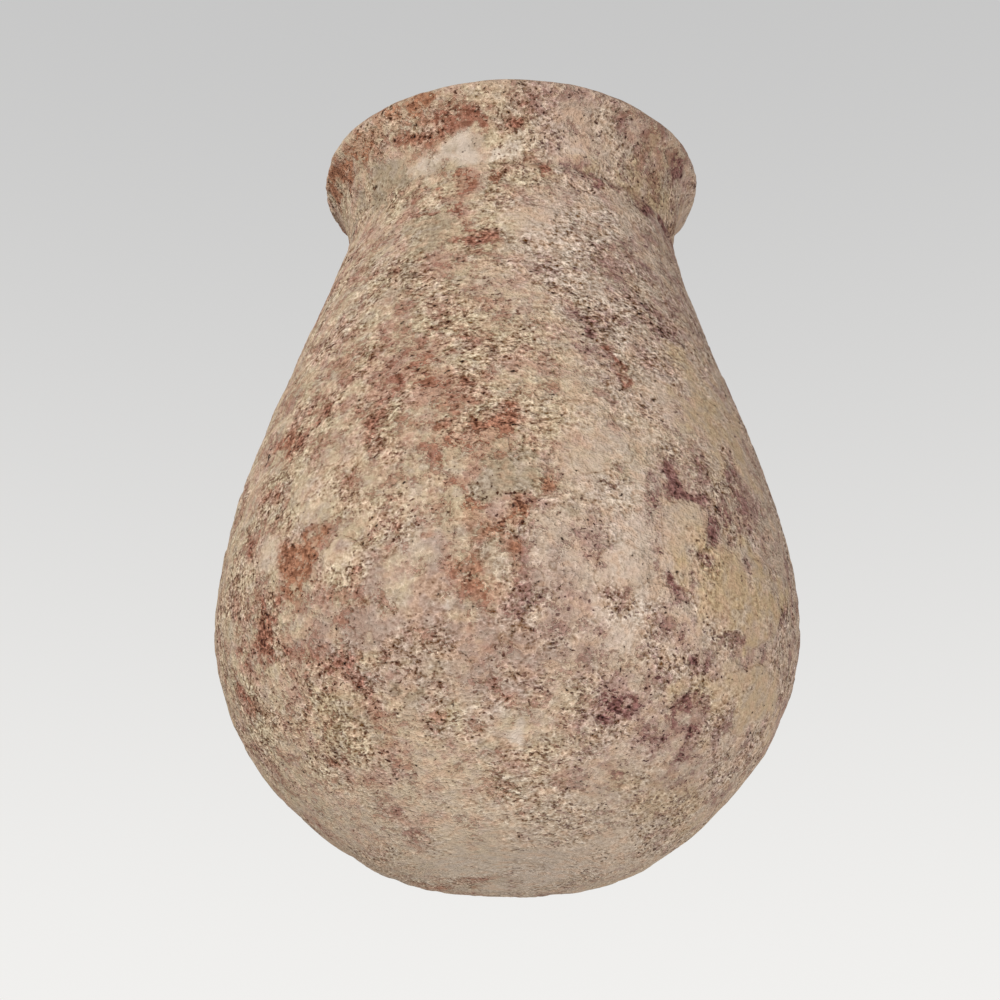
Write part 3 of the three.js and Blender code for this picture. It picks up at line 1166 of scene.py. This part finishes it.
def crust_colour(graph, finish, share, noise, mark):
    """Colour of the burial crust, from the common buff to the flecks on top."""
    spots = {
        "cream_crust": graph.step(-mark.lay, *CREAM_EDGE),
        "blush_crust": graph.step(noise.tint, *TINT_EDGE),
        "moss_crust": graph.step(-noise.tint, *TINT_EDGE),
        "mauve_crust": share.maroon,
        "grey_crust": share.grey,
        "ochre_crust": share.ochre,
        "rose_crust": share.rose,
        "pale_wash": share.pale,
        "olive_crust": share.olive,
        "tan_crust": graph.step(noise.warmth, *WARMTH_EDGE),
        "ash_crust": graph.step(-noise.warmth, *WARMTH_EDGE),
    }
    crust = finish.buff_crust
    for name, spot in spots.items():
        crust = graph.blend(spot * CRUST_COVER[name], crust, getattr(finish, name))
    return crust


def skin_colour(graph, finish, share, noise, mark):
    """Colour of the crust with the slip, its flecks and soot, the painted highlight along crust edges, and of
    the bare clay inside.
    """
    slip = graph.blend(share.maroon, finish.red_slip, finish.maroon_slip)
    slip = graph.blend(share.orange, slip, finish.orange_slip)
    fleck = graph.blend(share.maroon, finish.brown_fleck, finish.plum_fleck)
    skin = crust_colour(graph, finish, share, noise, mark)
    stain = graph.step(share.slip + noise.tint * STAIN_TINT, *STAIN_EDGE)
    skin = graph.blend(stain * STAIN_COVER, skin, slip)
    # Painted highlight: crust edges turned paler, towards cream
    skin = graph.blend(mark.painted_edge_highlight * EDGE_HIGHLIGHT_COVER, skin, finish.cream_crust)
    skin = graph.blend(mark.bared * (mark.zone * ZONE_COVER + BARED_COVER), skin, slip)
    skin = graph.blend(mark.core * CORE_COVER, skin, slip)
    for name, cover in FLECK_COVER.items():
        skin = graph.blend(getattr(mark, name) * cover, skin, fleck)
    skin = graph.blend(graph.step(share.soot + noise.fine * SOOT_FRAY, *SOOT_EDGE), skin, finish.soot)
    crusted = graph.step(noise.tint, *INSIDE_EDGE) * INSIDE_CRUST
    inside = graph.blend(crusted, finish.inside_clay, finish.buff_crust)
    return graph.blend(share.inside * INSIDE_COVER, skin, inside)


def grain_light(graph, share, noise, mark):
    """Colour to multiply the skin with, for its grain, the darker tone of some marks, painted shade in pits and
    along crust and plate edges, and painted highlights on grains.
    """
    crowded = CALM_LIGHT + graph.step(noise.crowd, *CROWD_EDGE) * CROWD_LIGHT
    lively = (crowded + weigh(share, LIVELY_SHARES)) * (1 - share.grey * GREY_CALM) + share.olive * OLIVE_LIVELY
    speckle = noise.grain * (GRAIN_LIGHT + mark.rough * ROUGH_LIGHT)
    speckle = speckle - noise.fine * (FINE_LIGHT + mark.rough * ROUGH_LIGHT)
    light = speckle * lively + weigh(mark, MARK_LIGHT) + ALL_LIGHT
    channels = {index: 1 + light * swing for index, swing in enumerate(CHANNEL_LIGHT)}
    return graph.node("ShaderNodeCombineColor", {}, channels)


def clay_material():
    """Worn slip under a patchy burial crust. Made once and shared by every piece of the wall."""
    if CLAY_NAME in bpy.data.materials:
        return bpy.data.materials[CLAY_NAME]
    finish = bpy.context.scene.jar_finish
    material = bpy.data.materials.new(CLAY_NAME)
    material.use_nodes = True
    graph = Graph(material.node_tree)
    share = SimpleNamespace(**{name: graph.share(name) for name in FINISH_SHARES})
    noise = clay_noises(graph, share.wiped)
    mark = clay_marks(graph, share, noise)
    skin = skin_colour(graph, finish, share, noise, mark)
    skin = graph.blend(1.0, skin, grain_light(graph, share, noise, mark), "MULTIPLY")
    rise = noise.grain * (GRAIN_RISE + mark.rough * ROUGH_RISE) - noise.fine * mark.rough * FINE_RISE
    bump = graph.node(
        "ShaderNodeBump",
        {},
        {"Strength": 1.0, "Distance": BUMP_HEIGHT, "Height": rise + weigh(mark, MARK_RISE)},
        "Normal",
    )
    shader = graph.node(
        "ShaderNodeBsdfPrincipled",
        {},
        {
            "Base Color": skin,
            "Roughness": CLAY_ROUGHNESS,
            "Specular IOR Level": CLAY_SPECULAR,
            "Normal": bump,
        },
    )
    graph.node("ShaderNodeOutputMaterial", {}, {"Surface": shader})
    return material


class JAR_OT_base_bowl(bpy.types.Operator):
    """Add the pressed base bowl"""

    bl_idname = "jar.base_bowl"
    bl_label = "Base Bowl"

    def execute(self, context):
        turn_piece("base_bowl", JarShape(context.scene.jar_sizes).base_bowl())
        return {"FINISHED"}


class JAR_OT_wall_coils(bpy.types.Operator):
    """Add the flattened coils of the wall"""

    bl_idname = "jar.wall_coils"
    bl_label = "Wall Coils"

    def execute(self, context):
        shape = JarShape(context.scene.jar_sizes)
        for number in range(1, COIL_COUNT + 1):
            turn_piece(f"wall_coil_{number:02d}", shape.wall_coil(number))
        return {"FINISHED"}


class JAR_OT_neck_bead(bpy.types.Operator):
    """Add the luting bead in the crease"""

    bl_idname = "jar.neck_bead"
    bl_label = "Neck Bead"

    def execute(self, context):
        turn_piece("neck_bead", JarShape(context.scene.jar_sizes).neck_bead())
        return {"FINISHED"}


class JAR_OT_collar(bpy.types.Operator):
    """Add the flaring collar"""

    bl_idname = "jar.collar"
    bl_label = "Collar"

    def execute(self, context):
        turn_piece("collar", JarShape(context.scene.jar_sizes).rim_collar())
        return {"FINISHED"}


class JAR_OT_lip_coil(bpy.types.Operator):
    """Add the coil that rounds the lip"""

    bl_idname = "jar.lip_coil"
    bl_label = "Lip Coil"

    def execute(self, context):
        turn_piece("lip_coil", JarShape(context.scene.jar_sizes).lip_coil())
        return {"FINISHED"}


class JAR_OT_stage(bpy.types.Operator):
    """Add the floor, the light and the camera"""

    bl_idname = "jar.stage"
    bl_label = "Stage"

    def execute(self, context):
        add_floor(context.scene.jar_stage)
        add_world(context.scene)
        for name, (location, side, share) in LAMPS.items():
            add_lamp(name, location, side, share)
        add_camera(context.scene)
        context.scene.view_settings.view_transform = "Standard"
        return {"FINISHED"}


AMBIENT = 0.55  # share of the light that comes evenly from all sides
LAMP_AIM = Vector((0, 0, 0.14))
# Soft lamps: where each stands, the length of its sides, and its share of a plain light level at the jar
LAMPS = {
    "key_softbox": ((-1.6, -2.4, 0.46), 1.0, 0.63),
    "fill_softbox": ((0.6, -0.75, -0.95), 0.9, 0.46),
    "top_softbox": ((-0.3, 0.1, 1.3), 1.0, 0.3),
}
PLAIN_LEVEL = math.pi**2  # watts of a lamp one metre away, at which a colour shows as it is written
FLOOR_CORNERS = 96
FLOOR_FADE = (0.35, 0.95)  # shares of the floor's radius
BACKDROP_FADE = (0.12, 0.7)  # upward part of the way that is looked along
NEAREST_SEEN = 10 * MM


def add_floor(stage):
    """A plain round floor that fades out at its edge, and that a view from below looks through."""
    bpy.ops.object.select_all(action="DESELECT")
    bpy.ops.mesh.primitive_circle_add(
        vertices=FLOOR_CORNERS, radius=stage.floor_radius, fill_type="NGON", location=(0, 0, 0)
    )
    floor = bpy.context.object
    floor.name = "floor"
    material = bpy.data.materials.new("pale_floor")
    material.use_nodes = True
    graph = Graph(material.node_tree)
    place = graph.node("ShaderNodeTexCoord", output="Object")
    reach = graph.node("ShaderNodeVectorMath", {"operation": "LENGTH"}, {0: place}, "Value")
    fade = 1 - graph.step(reach, *(share * stage.floor_radius for share in FLOOR_FADE))
    back = graph.node("ShaderNodeNewGeometry", output="Backfacing")
    paint = graph.node("ShaderNodeBsdfDiffuse", {}, {"Color": (*stage.floor_colour, 1)})
    clear = graph.node("ShaderNodeBsdfTransparent")
    shader = graph.node("ShaderNodeMixShader", {}, {0: fade * (1 - back), 1: clear, 2: paint})
    graph.node("ShaderNodeOutputMaterial", {}, {"Surface": shader})
    floor.data.materials.append(material)
    floor.visible_shadow = False
    floor.visible_diffuse = False
    floor.visible_glossy = False
    floor.visible_transmission = False


def add_world(scene):
    """Even light, and a pale backdrop that the camera and reflections see."""
    stage = scene.jar_stage
    scene.world = bpy.data.worlds.new("studio")
    scene.world.use_nodes = True
    graph = Graph(scene.world.node_tree)
    way = graph.node("ShaderNodeTexCoord", output="Generated")
    _, _, height = graph.split(way)
    backdrop = graph.blend(graph.step(height, *BACKDROP_FADE), stage.low_backdrop, stage.high_backdrop)
    rays = ("Is Camera Ray", "Is Glossy Ray", "Is Transmission Ray")
    camera, glossy, through = (graph.node("ShaderNodeLightPath", output=ray) for ray in rays)
    even = graph.node("ShaderNodeBackground", {}, {"Color": (1, 1, 1, 1), "Strength": AMBIENT})
    shown = graph.node("ShaderNodeBackground", {}, {"Color": backdrop, "Strength": 1.0})
    shader = graph.node("ShaderNodeMixShader", {}, {0: camera + glossy + through, 1: even, 2: shown})
    graph.node("ShaderNodeOutputWorld", {}, {"Surface": shader})


def add_lamp(name, location, side, share):
    """A soft lamp that gives this share of a plain light level at the jar."""
    bpy.ops.object.light_add(type="AREA", location=location)
    lamp = bpy.context.object
    lamp.name = name
    way = LAMP_AIM - Vector(location)
    lamp.rotation_euler = way.to_track_quat("-Z", "Y").to_euler()
    lamp.data.shape = "SQUARE"
    lamp.data.size = side
    lamp.data.energy = share * PLAIN_LEVEL * way.length_squared


def add_camera(scene):
    """A camera at the viewing angle, square on to the jar's axis."""
    stage = scene.jar_stage
    aim = Vector((stage.aim_side, 0, stage.aim_height))
    back = Vector((0, -math.cos(stage.view_rise), math.sin(stage.view_rise)))
    bpy.ops.object.camera_add(location=aim + back * stage.view_distance)
    camera = bpy.context.object
    camera.name = "camera"
    camera.rotation_euler = (-back).to_track_quat("-Z", "Y").to_euler()
    camera.data.sensor_fit = "AUTO"
    camera.data.angle = stage.view_angle
    camera.data.clip_start = NEAREST_SEEN
    scene.camera = camera


class JAR_PT_panel(bpy.types.Panel):
    """Pieces of the jar and their sizes and colours"""

    bl_idname = "JAR_PT_panel"
    bl_label = "Terracotta Jar"
    bl_space_type = "VIEW_3D"
    bl_region_type = "UI"
    bl_category = "Jar"

    def draw(self, context):
        for operator in OPERATORS:
            self.layout.operator(operator.bl_idname)
        for group in (context.scene.jar_sizes, context.scene.jar_finish, context.scene.jar_stage):
            box = self.layout.box()
            for name in group.__annotations__:
                box.prop(group, name)


OPERATORS = (
    JAR_OT_base_bowl,
    JAR_OT_wall_coils,
    JAR_OT_neck_bead,
    JAR_OT_collar,
    JAR_OT_lip_coil,
    JAR_OT_stage,
)
CLASSES = (JarSizes, JarFinish, JarStage, *OPERATORS, JAR_PT_panel)


def register():
    for cls in CLASSES:
        bpy.utils.register_class(cls)
    bpy.types.Scene.jar_sizes = PointerProperty(type=JarSizes)
    bpy.types.Scene.jar_finish = PointerProperty(type=JarFinish)
    bpy.types.Scene.jar_stage = PointerProperty(type=JarStage)


def unregister():
    del bpy.types.Scene.jar_stage
    del bpy.types.Scene.jar_finish
    del bpy.types.Scene.jar_sizes
    for cls in reversed(CLASSES):
        bpy.utils.unregister_class(cls)


def main():
    register()
    bpy.ops.jar.base_bowl()
    bpy.ops.jar.wall_coils()
    bpy.ops.jar.neck_bead()
    bpy.ops.jar.collar()
    bpy.ops.jar.lip_coil()
    bpy.ops.jar.stage()


if __name__ == "__main__":
    main()
